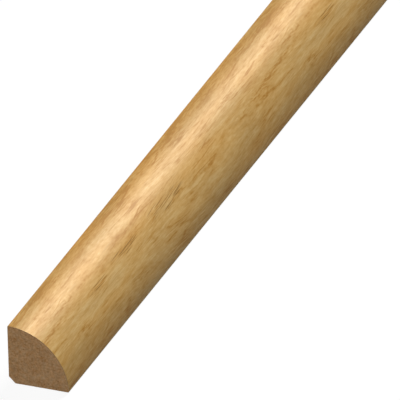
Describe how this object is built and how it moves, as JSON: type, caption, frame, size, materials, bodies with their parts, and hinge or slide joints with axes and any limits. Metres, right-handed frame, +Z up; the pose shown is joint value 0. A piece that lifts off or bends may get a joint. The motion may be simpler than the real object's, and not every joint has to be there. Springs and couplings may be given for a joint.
{
  "type": "quarter round moulding",
  "caption": "Straight stick of quarter round floor trim: a fibreboard core with a printed woodgrain wrap over the curved face, lying on its floor side.",
  "frame": {"origin": "middle of the underside's outline, halfway along the stick", "axes": "+X along the stick, +Y towards the wall, +Z up; the curved face looks towards -Y and +Z"},
  "size_m": [2.3876, 0.019, 0.019],
  "materials": {
    "fibreboard": "raw",
    "woodgrain_print": "satin"
  },
  "bodies": {
    "root": {"fibreboard_core": "fibreboard", "woodgrain_wrap": "woodgrain_print"}
  },
  "joints": []
}
